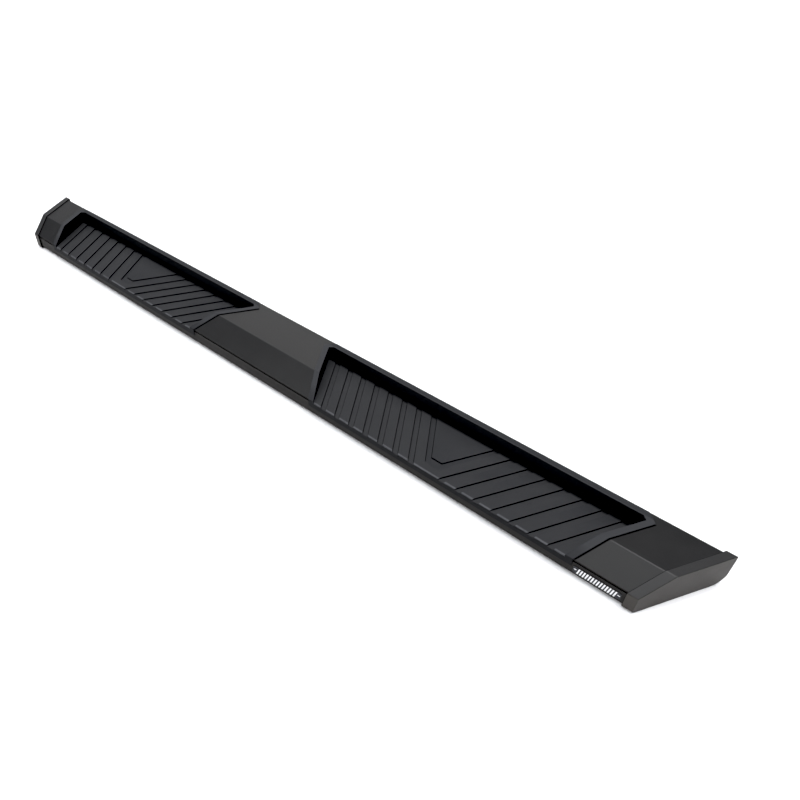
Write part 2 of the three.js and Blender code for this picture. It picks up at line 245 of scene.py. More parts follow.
def combine(shape, tools, operation):
    """Joins or cuts the shape with each tool in turn, and removes the tools."""
    for tool in tools:
        step = shape.modifiers.new("step", "BOOLEAN")
        step.solver = "MANIFOLD"
        step.operation = operation
        step.object = tool
        tool.hide_render = True
    bake(shape)
    for tool in tools:
        bpy.data.objects.remove(tool)
    return shape


def join(shape, *tools):
    return combine(shape, tools, "UNION")


def cut(shape, *tools):
    return combine(shape, tools, "DIFFERENCE")


def common(shape, *tools):
    return combine(shape, tools, "INTERSECT")


def soften(shape, width, segments=3, angle=38):
    """Rounds every edge sharper than the angle, after merging faces that lie in one plane."""
    mesh = bmesh.new()
    mesh.from_mesh(shape.data)
    bmesh.ops.remove_doubles(mesh, verts=mesh.verts, dist=0.005)
    bmesh.ops.dissolve_degenerate(mesh, edges=mesh.edges, dist=0.005)
    bmesh.ops.dissolve_limit(
        mesh,
        angle_limit=math.radians(0.3),
        use_dissolve_boundaries=False,
        verts=mesh.verts,
        edges=mesh.edges,
    )
    mesh.to_mesh(shape.data)
    mesh.free()
    bevel = shape.modifiers.new("bevel", "BEVEL")
    bevel.width = width
    bevel.segments = segments
    bevel.limit_method = "ANGLE"
    bevel.angle_limit = math.radians(angle)
    bevel.use_clamp_overlap = False
    bevel.miter_outer = "MITER_ARC"
    return bake(shape)


# ---- the section and plan outlines ---------------------------------------------------------


def crossing(p, d, q, e):
    """Where the line through p along d meets the line through q along e."""
    along = ((q[0] - p[0]) * e[1] - (q[1] - p[1]) * e[0]) / (d[0] * e[1] - d[1] * e[0])
    return p[0] + d[0] * along, p[1] + d[1] * along


def outline(grow, radii=None):
    """The extrusion's outline in Y and Z, grown outwards by a distance, or shrunk. A list gives
    each edge its own distance: inner face, top, slope, nose face, underside."""
    growth = grow if isinstance(grow, list) else [grow] * len(SECTION)
    lines = []
    for i, (y0, z0, _, _) in enumerate(SECTION):
        y1, z1 = SECTION[(i + 1) % len(SECTION)][:2]
        length = math.hypot(y1 - y0, z1 - z0)
        along = ((y1 - y0) / length, (z1 - z0) / length)
        lines.append(((y0 + along[1] * growth[i], z0 - along[0] * growth[i]), along))
    points = []
    for i, (_, _, corner_radius, steps) in enumerate(SECTION):
        before, after = lines[i - 1], lines[i]
        tip = crossing(*before, *after)
        radius = radii[i] if radii else max(corner_radius + (growth[i - 1] + growth[i]) / 2, 0.4)
        turn = math.acos(before[1][0] * after[1][0] + before[1][1] * after[1][1])
        reach = radius * math.tan(turn / 2)
        start = (tip[0] - before[1][0] * reach, tip[1] - before[1][1] * reach)
        centre = (start[0] - before[1][1] * radius, start[1] + before[1][0] * radius)
        first = math.atan2(start[1] - centre[1], start[0] - centre[0])
        for step in range(steps + 1):
            angle = first + turn * step / steps
            y, z = centre[0] + radius * math.cos(angle), centre[1] + radius * math.sin(angle)
            points.append((y, z))
    return points


def hull(grow, x0=-FAR, x1=FAR):
    return section_prism(outline(grow), x0, x1)


def raked_plan(centre, half, y_front, y_back, chamfer=0):
    """A plan outline with both ends raked. `half` is half its length along the inner face."""
    def end(y):
        return half + RAKE * (y - INNER)

    right = [(end(y_front), y_front), (end(y_back - chamfer), y_back - chamfer)]
    if chamfer:
        right.append((end(y_back) - chamfer * (RAKE + 1), y_back))
    left = [(-x, y) for x, y in reversed(right)]
    return [(centre + x, y) for x, y in right + left]


def mouth(half, depth, edge, steps=4, cavity=None):
    """The outline of a groove: across it and into it, with rounded edges at the surface. A
    cavity (half width, height) widens it at the bottom."""
    side = [(half + edge, -6.0)]
    for step in range(steps + 1):
        angle = math.pi / 2 * step / steps
        side.append((half + edge - edge * math.sin(angle), edge - edge * math.cos(angle)))
    side.append((half, depth))
    if cavity:
        side += [(cavity[0], depth), (cavity[0], depth + cavity[1])]
    return side + [(-u, v) for u, v in reversed(side)]


def chamber(y_span, z_span, margin=0.0, x0=-FAR, x1=FAR):
    """A hollow of the extrusion, or the same hollow shrunk all round by a margin."""
    room = box(
        x0 - 1, x1 + 1,
        y_span[0] + margin, y_span[1] - margin,
        z_span[0] + margin, z_span[1] - margin,
    )
    return common(hull(-WALL - margin, x0, x1), room)


# The extrusion's hollows, each as its span in Y and its span in Z. Webs stand between them.
HALF_WEB = WALL / 2
UPPER_ROOMS = (
    ((KNEE + HALF_WEB, INNER), (SHELF_TOP, TOP)),
    ((NOSE, KNEE - HALF_WEB), (SHELF_TOP, TOP)),
)
LOWER_ROOMS = (
    ((SLOT_LINES["inner"] + HALF_WEB, INNER), (BASE, SHELF_BOTTOM)),
    ((SLOT_LINES["outer"] + HALF_WEB, SLOT_LINES["inner"] - HALF_WEB), (BASE, SHELF_BOTTOM)),
    ((NOSE, SLOT_LINES["outer"] - HALF_WEB), (BASE, SHELF_BOTTOM)),
)


# ---- the pieces' shapes --------------------------------------------------------------------


def screw_nodes(kind):
    return sorted(node for node in frame["nodes"] if f"_{kind}_screw_" in node)


def extrusion():
    """The hollow extruded body, cut to its raked ends and opened for the two trays."""
    shape = hull(0)
    cut(shape, *[chamber(*room) for room in UPPER_ROOMS + LOWER_ROOMS])
    shells = []
    side = SLOT_WIDTH / 2 + WALL
    shell_top = BASE + 2 * WALL + SLOT_HEIGHT
    for line in SLOT_LINES.values():
        shells.append(box(-FAR, FAR, line - side, line + side, BASE + 0.5, shell_top))
    for face, out, low, high in GROOVES:
        y0, y1 = sorted((face - out, face - out * (GROOVE_DEPTH + WALL)))
        shells.append(common(box(-FAR, FAR, y0, y1, low - WALL, high + WALL), hull(-1)))
    join(shape, *shells)

    tools = []
    for line in SLOT_LINES.values():
        profile = mouth(SLOT_MOUTH / 2, WALL, 0.7, cavity=(SLOT_WIDTH / 2, SLOT_HEIGHT))
        tools.append(section_prism([(line + u, BASE + v) for u, v in profile], -FAR - 5, FAR + 5))
    for face, out, low, high in GROOVES:
        profile = mouth((high - low) / 2, GROOVE_DEPTH, 0.45)
        centre = (low + high) / 2
        points = [(face - out * v, centre + u) for u, v in profile]
        tools.append(section_prism(points, -FAR - 5, FAR + 5))
    for centre in TRAY_CENTRES.values():
        plan = raked_plan(centre, CUTOUT_HALF, NOSE - 20, CUTOUT_BACK, CUTOUT_CORNER)
        tools.append(plan_prism(plan, SHELF_TOP, TOP + 20))
    above_wall = BASE + WALL + 1
    access = [(8.5, BASE - 1), (7.7, BASE), (7.2, BASE + 0.35), (7.0, BASE + 0.9),
              (7.0, above_wall)]
    sink = [(5.9, BASE - 1), (5.2, BASE), (2.6, BASE + 2.6), (2.6, above_wall)]
    for node in screw_nodes("tray"):
        x, y, _ = centre_mm(node)
        tools.append(turned(x, y, access))
        hole = [(SHELF_HOLE, SHELF_BOTTOM - 1), (SHELF_HOLE, SHELF_TOP + 1)]
        tools.append(turned(x, y, hole, 24))
    for node in screw_nodes("cap"):
        x, y, _ = centre_mm(node)
        tools.append(turned(x, y, sink))
    cut(shape, *tools)
    ends = raked_plan(0, BODY_HALF, NOSE - 20, INNER + 20)
    return common(shape, plan_prism(ends, -20, TOP + 20))


def tread_height(y):
    return TREAD_BACK_Z + TREAD_FALL * (y - BASIN_BACK)


def above_tread(drop, roll, x0, x1, y_back=INNER, steps=8):
    """Everything above the tread lowered by `drop`, with the tread rolling over at the nose."""
    lip = NOSE - PROUD
    height = tread_height(lip + roll) - drop
    points = [(y_back, TOP + 30), (y_back, tread_height(y_back) - drop)]
    for step in range(steps + 1):
        angle = math.pi / 2 * step / steps
        points.append((lip + roll - roll * math.sin(angle), height - roll + roll * math.cos(angle)))
    points += [(lip - 20, height - roll), (lip - 20, TOP + 30)]
    return section_prism(points, x0, x1)


def channel_tools(centre, x0, x1):
    """The slanting channels between the tread's pads, which turn round the centre pad, the finer
    grooves at the feet of their walls, and the gutter along the back wall."""
    deep = 12.0                # past any channel's floor

    def slant(side, start, y):
        return centre + side * (start + RAKE * (y - INNER))

    def strip(side, start, width, y_front):
        """An upright-walled cut, from its near side `start` to `width` beyond it."""
        edges = ((start, y_front), (start + width, y_front),
                 (start + width, BASIN_BACK), (start, BASIN_BACK))
        return plan_prism([(slant(side, edge, y), y) for edge, y in edges], 0, TOP)

    def channel(side, start, y_front):
        """A channel's cut, with its upper edges rounded."""
        middle = start + CHANNEL_WIDTH / 2
        profile = mouth(CHANNEL_WIDTH / 2, deep, PAD_EDGE)
        return loft([
            [(slant(side, middle + u, y), y, tread_height(y) - v) for u, v in profile]
            for y in (y_front, BASIN_BACK)
        ])

    def across_edge(y, side):
        return centre + side * (CHEVRON_HALF + RAKE * (y - INNER) + 0.5)

    def across(y_front, y_back):
        """An upright-walled cut in front of the centre pad, from one of its sides to the other."""
        corners = ((y_front, -1), (y_front, 1), (y_back, 1), (y_back, -1))
        return plan_prism([(across_edge(y, side), y) for y, side in corners], 0, TOP)

    def turn(y_front, y_back):
        """The channel in front of the centre pad, with its upper edges rounded."""
        middle = (y_front + y_back) / 2
        profile = [(middle + u, v) for u, v in mouth((y_back - y_front) / 2, deep, PAD_EDGE)]
        return loft([
            [(across_edge(y, side), y, tread_height(y) - v) for y, v in profile]
            for side in (-1, 1)
        ])

    front = CHEVRON_FRONT - CHEVRON_WIDTH
    starts = [CHEVRON_HALF + (i + 1) * CHANNEL_PITCH for i in range(CHANNELS_PER_SIDE)]
    far_side = CHANNEL_WIDTH - SEAM_WIDTH
    gutter = raked_plan(centre, BASIN_HALF, GUTTER_FRONT, BASIN_BACK, BASIN_CORNER)
    wide = [turn(front, CHEVRON_FRONT)]
    fine = [
        across(front, front + SEAM_WIDTH),
        across(CHEVRON_FRONT - SEAM_WIDTH, CHEVRON_FRONT),
        plan_prism(gutter, 0, TOP),
    ]
    for side in (-1, 1):
        wide.append(channel(side, CHEVRON_HALF, front))
        fine.append(strip(side, CHEVRON_HALF, SEAM_WIDTH, CHEVRON_FRONT - SEAM_WIDTH))
        fine.append(strip(side, CHEVRON_HALF + far_side, SEAM_WIDTH, front))
        for start in starts:
            wide.append(channel(side, start, NOSE - 20))
            for offset in (0, far_side):
                fine.append(strip(side, start + offset, SEAM_WIDTH, NOSE - 20))
    return [
        common(tool, above_tread(depth, CHANNEL_ROLL, x0, x1))
        for tools, depth in ((wide, CHANNEL_DEPTH), (fine, CHANNEL_DEPTH + SEAM_DEPTH))
        for tool in tools
    ]


def step_tray(end):
    """A moulded tray: flange, well, ribbed tread, and the lip that hangs over the nose."""
    centre = TRAY_CENTRES[end]
    x0, x1 = centre - FLANGE_HALF - 10, centre + FLANGE_HALF + 10
    flange = cut(hull(PROUD, x0, x1), hull(GAP, x0 - 1, x1 + 1))
    rim = raked_plan(centre, FLANGE_HALF, NOSE - 20, FLANGE_BACK, FLANGE_CORNER)
    common(flange, plan_prism(rim, LIP_BOTTOM, TOP + 20))
    basin = hull(1, x0, x1)
    shell_half, shell_back = BASIN_HALF + TRAY_WALL, BASIN_BACK + TRAY_WALL
    shell = raked_plan(centre, shell_half, NOSE - 20, shell_back, CUTOUT_CORNER)
    common(basin, plan_prism(shell, 0, TOP + 20), above_tread(TREAD_THICKNESS, 0.5, x0, x1))
    join(flange, basin)
    well = raked_plan(centre, BASIN_HALF, NOSE - 30, BASIN_BACK, BASIN_CORNER)
    hollow = plan_prism(well, 0, TOP + 20)
    common(hollow, above_tread(0, NOSE_ROLL, x0 - 5, x1 + 5))
    cut(flange, hollow)
    soften(flange, TRAY_EDGE)
    cut(flange, *channel_tools(centre, x0, x1))
    bosses, pilots = [], []
    for node in screw_nodes("tray"):
        if node.startswith(end):
            x, y, _ = centre_mm(node)
            roof = tread_height(y) - 4
            bosses.append(turned(x, y, [(TRAY_BOSS, SHELF_TOP + GAP), (TRAY_BOSS, roof)], 32))
            pilots.append(turned(x, y, [(TRAY_PILOT, SHELF_TOP - 1), (TRAY_PILOT, roof)], 24))
    join(flange, *bosses)
    return cut(flange, *pilots)


def end_cap(end):
    """A moulded cap: a rounded band and end wall, with skirts that plug into the extrusion."""
    side = 1 if end == "front" else -1
    steps = 6
    bends = [math.pi / 2 * step / steps for step in range(steps + 1)]
    profile = []               # distance along the band, distance in from its full height
    for angle in bends:
        profile.append((CAP_INBOARD_EDGE * (1 - math.cos(angle)),
                        CAP_INBOARD_EDGE * (1 - math.sin(angle))))
    for angle in bends:
        profile.append((CAP_BAND - CAP_OUTBOARD_EDGE * (1 - math.sin(angle)),
                        CAP_OUTBOARD_EDGE * (1 - math.cos(angle))))
    growth = (CAP_PROUD, CAP_RISE, CAP_RISE, CAP_PROUD, CAP_PROUD)
    rings = []
    for x, inset in profile:
        section = outline([g - inset for g in growth], [r - inset for r in CAP_RADII])
        rings.append([(x, y, z) for y, z in section])
    shape = loft(rings)
    wall_x = CAP_BAND - CAP_FACE
    cut(shape, hull(-WALL, -1, wall_x))
    reach = -PLUG_DEPTH
    fits = []
    for room in UPPER_ROOMS:
        skirt = chamber(*room, PLUG_GAP, reach, CAP_BAND - 1)
        cut(skirt, chamber(*room, PLUG_GAP + SKIRT_WALL, reach - 1, wall_x))
        fits.append(common(skirt, box(-100, 100, NOSE + SKIRT_CLEAR, INNER - SKIRT_CLEAR, 0, TOP)))
    floor, roof = BASE + WALL + PLUG_GAP, SHELF_BOTTOM - PLUG_GAP
    y0, y1 = PLUG_SPAN
    plug = box(reach, CAP_BAND - 1, y0, y1, floor, roof)
    fits.append(cut(plug, box(reach - 1, wall_x, y0 + PLUG_WALL, y1 - PLUG_WALL,
                              floor + PLUG_WALL, roof - PLUG_WALL)))
    join(shape, *fits)
    to_end = Matrix((
        (side, side * RAKE, 0, side * (BODY_HALF + CAP_JOINT - RAKE * INNER)),
        (0, 1, 0, 0),
        (0, 0, 1, 0),
        (0, 0, 0, 1),
    ))
    shape.data.transform(to_end)
    if side < 0:
        shape.data.flip_normals()
    bosses, pilots = [], []
    for node in screw_nodes("cap"):
        if node.startswith(end):
            x, y, _ = centre_mm(node)
            bosses.append(turned(x, y, [(CAP_BOSS, floor), (CAP_BOSS, roof)], 32))
            pilots.append(turned(x, y, [(CAP_PILOT, 0), (CAP_PILOT, floor + 14)], 24))
    join(shape, *bosses)
    return cut(shape, *pilots)


def hexagon(x, y, across, z0, z1):
    return turned(x, y, [(across / math.sqrt(3), z0), (across / math.sqrt(3), z1)], 6)


def tray_screw(node):
    """A pan-head screw with a hexagon socket, driven upwards."""
    x, y, _ = centre_mm(node)
    low, high = box_mm(node)
    head_top = low.z + 3
    flat, edge, steps = 3.4, 1.6, 6
    rim = flat + edge
    head = [(flat, low.z)]
    for step in range(1, steps + 1):
        angle = math.pi / 2 * step / steps
        head.append((flat + edge * math.sin(angle), low.z + edge * (1 - math.cos(angle))))
    head += [(rim, head_top - 0.25), (rim - 0.25, head_top)]
    shape = turned(x, y, head)
    join(shape, threaded(x, y, head_top - 0.2, high.z - 0.6, radius=2.1, pitch=1.2, depth=0.35))
    return cut(shape, hexagon(x, y, 3.0, low.z - 1, low.z + 1.8))


def cap_screw(node):
    """A countersunk screw with a hexagon socket, driven upwards."""
    x, y, _ = centre_mm(node)
    low, high = box_mm(node)
    head = ((4.55, 0.0), (4.7, 0.15), (4.7, 0.3), (2.1, 2.6), (2.0, 2.9))
    shape = turned(x, y, [(radius, low.z + height) for radius, height in head])
    join(shape, threaded(x, y, low.z + 2.7, high.z - 0.4, radius=2.0, pitch=1.2, depth=0.35))
    return cut(shape, hexagon(x, y, 2.6, low.z - 1, low.z + 1.4))


def slot_nut(node):
    """A T-section nut with rounded edges and a threaded hole for the bracket's bolt."""
    x, y, _ = centre_mm(node)
    low, high = box_mm(node)
    floor = BASE + WALL + GAP
    neck = SLOT_MOUTH / 2 - GAP
    shape = box(low.x, high.x, low.y, high.y, floor, high.z)
    join(shape, box(low.x, high.x, y - neck, y + neck, low.z, floor + 1))
    soften(shape, 0.4)
    bore = threaded(x, y, low.z - 1, high.z + 1, radius=4.0, pitch=1.25, depth=0.6, sides=40,
                    per_turn=8)
    sink_below = turned(x, y, [(5.2, low.z - 0.8), (3.4, low.z + 1)])
    sink_above = turned(x, y, [(3.4, high.z - 1), (5.2, high.z + 0.8)])
    return cut(shape, bore, sink_below, sink_above)


def rounded_plate(low, high, radius, y0, y1, steps=8):
    """A plate that stands on edge, facing along Y, with rounded corners."""
    corners = ((high.x - radius, high.z - radius), (low.x + radius, high.z - radius),
               (low.x + radius, low.z + radius), (high.x - radius, low.z + radius))
    points = []
    for quarter, (x, z) in enumerate(corners):
        for step in range(steps + 1):
            angle = math.pi / 2 * (quarter + step / steps)
            points.append((x + radius * math.cos(angle), z + radius * math.sin(angle)))
    return loft([[(x, y, z) for x, z in points] for y in (y0, y1)])


def badge_plate():
    """The badge's black backing plate, with rounded corners."""
    low, high = box_mm("name_badge")
    return soften(rounded_plate(low, high, 3.0, low.y + 0.35, high.y), 0.18, 2)


def badge_bars():
    """A plain row of slanting bars raised from the backing plate, with a short dash at each end."""
    low, high = box_mm("name_badge")
    y0, y1 = low.y, low.y + 0.6
    count, lean, inset, margin = 14, 3.0, 9.0, 0.9
    z0, z1 = low.z + margin, high.z - margin
    pitch = (high.x - low.x - 2 * inset) / count

    def bar(x, wide, bottom, top):
        slope = lean * (top - bottom) / (z1 - z0)
        points = ((x, bottom), (x + wide, bottom), (x + wide + slope, top), (x + slope, top))
        return loft([[(u - slope / 2, y, z) for u, z in points] for y in (y0, y1)])

    def dash(x):
        middle = (z0 + z1) / 2 + 1.5
        return bar(x, dash_length, middle - 1.1, middle + 1.1)

    dash_length, dash_inset = 5.5, 2.0
    shape = dash(low.x + dash_inset)
    bars = [bar(low.x + inset + pitch * (i + 0.22), pitch * 0.56, z0, z1) for i in range(count)]
    join(shape, *bars, dash(high.x - dash_inset - dash_length))
    return soften(shape, 0.12, 2)


# ---- materials -----------------------------------------------------------------------------


class Shader:
    """A material's nodes, with short ways to add and link them."""

    def __init__(self, name):
        self.material = bpy.data.materials.new(name)
        self.material.use_nodes = True
        self.tree = self.material.node_tree
        self.surface = self.tree.nodes["Principled BSDF"]
        self.place = self.add("ShaderNodeTexCoord").outputs["Object"]

    def add(self, kind, **settings):
        node = self.tree.nodes.new(kind)
        for key, value in settings.items():
            setattr(node, key, value)
        return node

    def link(self, source, target):
        self.tree.links.new(source, target)

    def stretched(self, scale):
        """Object coordinates scaled by a different amount along each axis."""
        mapping = self.add("ShaderNodeMapping")
        mapping.inputs["Scale"].default_value = scale
        self.link(self.place, mapping.inputs["Vector"])
        return mapping.outputs["Vector"]

    def noise(self, scale, detail=3.0, roughness=0.5, place=None):
        node = self.add("ShaderNodeTexNoise")
        node.inputs["Scale"].default_value = scale
        node.inputs["Detail"].default_value = detail
        node.inputs["Roughness"].default_value = roughness
        self.link(place or self.place, node.inputs["Vector"])
        return node.outputs["Fac"]

    def cells(self, scale, feature="SMOOTH_F1", output="Distance", place=None):
        node = self.add("ShaderNodeTexVoronoi", feature=feature)
        node.inputs["Scale"].default_value = scale
        self.link(place or self.place, node.inputs["Vector"])
        return node.outputs[output]

    def between(self, value, low, high, to_low=0.0, to_high=1.0):
        """Maps a value from one range to another, clamped."""
        node = self.add("ShaderNodeMapRange")
        node.inputs["From Min"].default_value = low
        node.inputs["From Max"].default_value = high
        node.inputs["To Min"].default_value = to_low
        node.inputs["To Max"].default_value = to_high
        self.link(value, node.inputs["Value"])
        return node.outputs["Result"]

    def math(self, operation, a, b=0.0):
        node = self.add("ShaderNodeMath", operation=operation)
        for socket, value in zip(node.inputs, (a, b)):
            if isinstance(value, (int, float)):
                socket.default_value = value
            else:
                self.link(value, socket)
        return node.outputs["Value"]

    def plus(self, a, b):
        return self.math("ADD", a, b)

    def minus(self, a, b):
        return self.math("SUBTRACT", a, b)

    def times(self, first, *others):
        for other in others:
            first = self.math("MULTIPLY", first, other)
        return first

    def largest(self, first, *others):
        for other in others:
            first = self.math("MAXIMUM", first, other)
        return first

    def mix(self, factor, a, b):
        """Mixes two colours, each a plain colour or another node's output."""
        node = self.add("ShaderNodeMix", data_type="RGBA")
        self.link(factor, node.inputs["Factor"])
        for key, value in (("A", a), ("B", b)):
            socket = [s for s in node.inputs if s.name == key and s.type == "RGBA"][0]
            if isinstance(value, tuple):
                socket.default_value = (*value, 1.0)
            else:
                self.link(value, socket)
        return [s for s in node.outputs if s.type == "RGBA"][0]

    def axis(self, name):
        """Object coordinate X, Y or Z, in millimetres."""
        node = self.add("ShaderNodeSeparateXYZ")
        self.link(self.place, node.inputs[0])
        return self.times(node.outputs[name], 1 / MM)

    def away_from(self, middle, name):
        """Distance from a place on an axis, in millimetres."""
        return self.math("ABSOLUTE", self.minus(self.axis(name), middle))

    def along_board(self, x):
        """Position x carried along the rake of the ends to Y = 0, in millimetres."""
        return self.minus(x, self.times(self.axis("Y"), RAKE))

    def facing_up(self, low=0.3, high=0.8):
        """1 on faces that look upwards and 0 on upright ones."""
        node = self.add("ShaderNodeSeparateXYZ")
        self.link(self.add("ShaderNodeNewGeometry").outputs["Normal"], node.inputs[0])
        return self.between(node.outputs["Z"], low, high)

    def edge_wear(self, low, high):
        """1 on convex edges and 0 elsewhere."""
        geometry = self.add("ShaderNodeNewGeometry")
        return self.between(geometry.outputs["Pointiness"], low, high)

    def bump(self, layers):
        """Stacks (height, strength, distance) layers onto the surface's normal."""
        normal = None
        for height, strength, distance in layers:
            node = self.add("ShaderNodeBump")
            node.inputs["Strength"].default_value = strength
            node.inputs["Distance"].default_value = distance
            self.link(height, node.inputs["Height"])
            if normal:
                self.link(normal, node.inputs["Normal"])
            normal = node.outputs["Normal"]
        self.link(normal, self.surface.inputs["Normal"])

    def finish(self, colour, roughness, metallic=0.0, specular=0.5):
        self.link(colour, self.surface.inputs["Base Color"])
        self.link(roughness, self.surface.inputs["Roughness"])
        self.surface.inputs["Metallic"].default_value = metallic
        self.surface.inputs["Specular IOR Level"].default_value = specular
        return self.material


# The colour of the painted shadow along each tray's flange.
NEARLY_BLACK = (0.002, 0.002, 0.002)


def scaled(colour, factor):
    return tuple(min(1.0, factor * channel) for channel in colour)


def powder_coat():
    """Fine-texture black powder coat: pebbled, with a scatter of brighter grains, lighter, warmer
    and rougher on its upright faces, with a painted highlight along the knee and a painted shadow
    along the front edge of each tray's flange."""
    dark, light = (0.0180, 0.0179, 0.0178), (0.0222, 0.0220, 0.0218)
    upright_tone, knee_highlight_colour = (0.0255, 0.0240, 0.0224), (0.024, 0.024, 0.024)
    bright_grain, bare_edge = (0.09, 0.089, 0.086), (0.05, 0.05, 0.05)
    shader = Shader("powder_coat")
    pebbles = shader.noise(620, 2.0, 0.55)
    grains = shader.cells(1500, "F1")
    cloud = shader.noise(9, 4.0, 0.6)
    speck = shader.between(grains, 0.0, 0.22, 1.0, 0.0)
    upright = shader.minus(1.0, shader.facing_up())
    colour = shader.mix(shader.between(cloud, 0.3, 0.7), dark, light)
    # Upright faces lighter and warmer.
    colour = shader.mix(upright, colour, upright_tone)
    colour = shader.mix(shader.times(speck, 0.3), colour, bright_grain)
    colour = shader.mix(shader.times(shader.edge_wear(0.54, 0.62), 0.25), colour, bare_edge)
    # Painted shadow, nearly black and rougher, along the front edge of each tray's flange.
    painted_shade = painted_shadow_by_trays(shader)
    # Painted highlight along the knee.
    colour = shader.mix(painted_shade, paint_knee_highlight(shader, colour, knee_highlight_colour), NEARLY_BLACK)
    smooth = shader.plus(shader.between(cloud, 0.2, 0.8, 0.34, 0.41), shader.times(pebbles, 0.06))
    roughness = shader.largest(shader.plus(smooth, shader.times(upright, 0.25)), painted_shade)
    shader.bump([(pebbles, 0.55, 0.00022), (grains, 0.25, 0.00008)])
    return shader.finish(colour, roughness, specular=0.28)


def painted_shadow_by_trays(shader):
    """1 along the front edge of each tray's flange, where a shadow is painted on the coat."""
    along = shader.along_board(shader.axis("X"))
    bands = []
    for centre in TRAY_CENTRES.values():
        edge = centre + FLANGE_HALF - RAKE * INNER
        bands.append(shader.times(shader.between(along, edge + 2.2, edge + 4.2, 1.0, 0.0),
                                  shader.between(along, edge - 4, edge - 3)))
    before_corner = shader.between(shader.axis("Y"), FLANGE_BACK - 24, FLANGE_BACK - 20, 1.0, 0.0)
    return shader.times(shader.largest(*bands), before_corner, shader.facing_up(0.5, 0.8))


# The next three paint light and shade onto a colour: a knee highlight, a tray's shade and
# highlights, and a cap's side light. `light` is the lighter of the material's two plain colours.


def paint_knee_highlight(shader, colour, light):
    """Paints a highlight along the edge where the top turns down towards the nose."""
    near = shader.between(shader.away_from(KNEE, "Y"), 0.6, 2.6, 0.6, 0.0)
    on_top = shader.between(shader.axis("Z"), TOP - 4, TOP - 3)
    return shader.mix(shader.times(near, on_top), colour, scaled(light, 2.0))


def tread_light_and_shade(shader, colour, light):
    """Painted light and shade on a tray: upward faces keep the plain colour and upright ones are
    painted darker as shade, the flange strips are painted lighter, painted shade lies in the
    grooves and along the back wall, and the pads' front edges carry a patchy painted highlight."""
    y = shader.axis("Y")
    surface = shader.plus(shader.times(y, TREAD_FALL), TREAD_BACK_Z - TREAD_FALL * BASIN_BACK)
    sunk = shader.minus(surface, shader.axis("Z"))
    # Painted shade: upright faces darker than upward ones.
    colour = shader.mix(shader.facing_up(), scaled(light, 0.5), colour)

    # Painted light: the flange strips lighter than the tread in the well.
    on_flange = shader.times(shader.between(sunk, -22, -12, 1.0, 0.0),
                             shader.between(y, BASIN_BACK, BASIN_BACK + 4, 1.0, 0.0),
                             shader.facing_up(0.7, 0.84))
    colour = shader.mix(on_flange, colour, scaled(light, 1.25))

    # Painted shade in the grooves and along the foot of the back wall.
    in_grooves = shader.times(shader.between(sunk, CHANNEL_DEPTH + 0.3, CHANNEL_DEPTH + 1.0),
                              shader.between(y, NOSE, NOSE + 3))
    by_back_wall = shader.times(shader.between(y, GUTTER_FRONT - 5, GUTTER_FRONT + 1),
                                shader.between(sunk, -12, -6))
    painted_shade = shader.largest(in_grooves, by_back_wall)
    colour = shader.mix(shader.times(painted_shade, 0.8), colour, scaled(light, 0.1))

    # Painted highlight along the pads' rolled front edges, patchy.
    lip = NOSE - PROUD
    near = shader.between(y, lip + 3.2, lip + 5.6, 1.0, 0.0)
    high = shader.between(sunk, 1.6, 2.8, 1.0, 0.0)
    patchy = shader.between(shader.noise(55, 4.0, 0.6), 0.2, 0.6, 0.6, 1.0)
    reach = BASIN_HALF + RAKE * (NOSE - INNER)
    on_pads = shader.largest(*[
        shader.between(shader.away_from(centre, "X"), reach - 2, reach, 1.0, 0.0)
        for centre in TRAY_CENTRES.values()
    ])
    return shader.mix(shader.times(near, high, patchy, on_pads), colour, scaled(light, 2.4))


def paint_side_light(shader, colour, _light):
    """Painted side light: a cap's upright faces lighter and warmer than its upward ones."""
    return shader.mix(shader.facing_up(), (0.0395, 0.0352, 0.0302), colour)


def joint_shadow(shader):
    """1 on a cap's inboard edge, down in the joint with the extrusion, where a shadow is painted.
    """
    along = shader.along_board(shader.away_from(0, "X"))
    start = BODY_HALF + CAP_JOINT - RAKE * INNER
    return shader.between(along, start + 0.8, start + 1.4, 1.0, 0.0)


def moulded_plastic(name, dark, light, grain, rough, specular, light_and_shade, painted_shadow=None):
    """Injection-moulded black plastic with a fine leather grain, given painted light and shade by
    the given functions, and black, as a painted shadow, where the shadow function gives 1."""
    shader = Shader(name)
    bend = shader.noise(160, 2.0)
    place = shader.add("ShaderNodeVectorMath", operation="ADD")
    shader.link(shader.place, place.inputs[0])
    drift = shader.add("ShaderNodeVectorMath", operation="SCALE")
    drift.inputs["Scale"].default_value = 0.0012
    shader.link(bend, drift.inputs[0])
    shader.link(drift.outputs[0], place.inputs[1])
    leather = shader.cells(grain, place=place.outputs[0])
    fine = shader.noise(2100, 2.0, 0.6)
    cloud = shader.noise(14, 4.0, 0.55)
    colour = shader.mix(shader.between(cloud, 0.3, 0.7), dark, light)
    valley = shader.between(leather, 0.0, 0.35, 0.35, 0.0)
    colour = shader.mix(valley, colour, scaled(dark, 0.6))
    scuffs = shader.times(shader.edge_wear(0.53, 0.6), 0.2)
    colour = shader.mix(scuffs, colour, (0.06, 0.06, 0.06))
    # Each function paints light or shade onto the colour.
    for overlay in light_and_shade:
        colour = overlay(shader, colour, light)
    roughness = shader.plus(shader.between(cloud, 0.25, 0.75, rough - 0.03, rough + 0.04),
                            shader.times(fine, 0.05))
    # Painted shadow: black and rough where the mask gives 1.
    if painted_shadow:
        black = painted_shadow(shader)
        colour = shader.mix(black, colour, scaled(light, 0.1))
        roughness = shader.largest(roughness, black)
    shader.bump([(leather, 0.4, 0.0002), (fine, 0.2, 0.00006)])
    return shader.finish(colour, roughness, specular=specular)


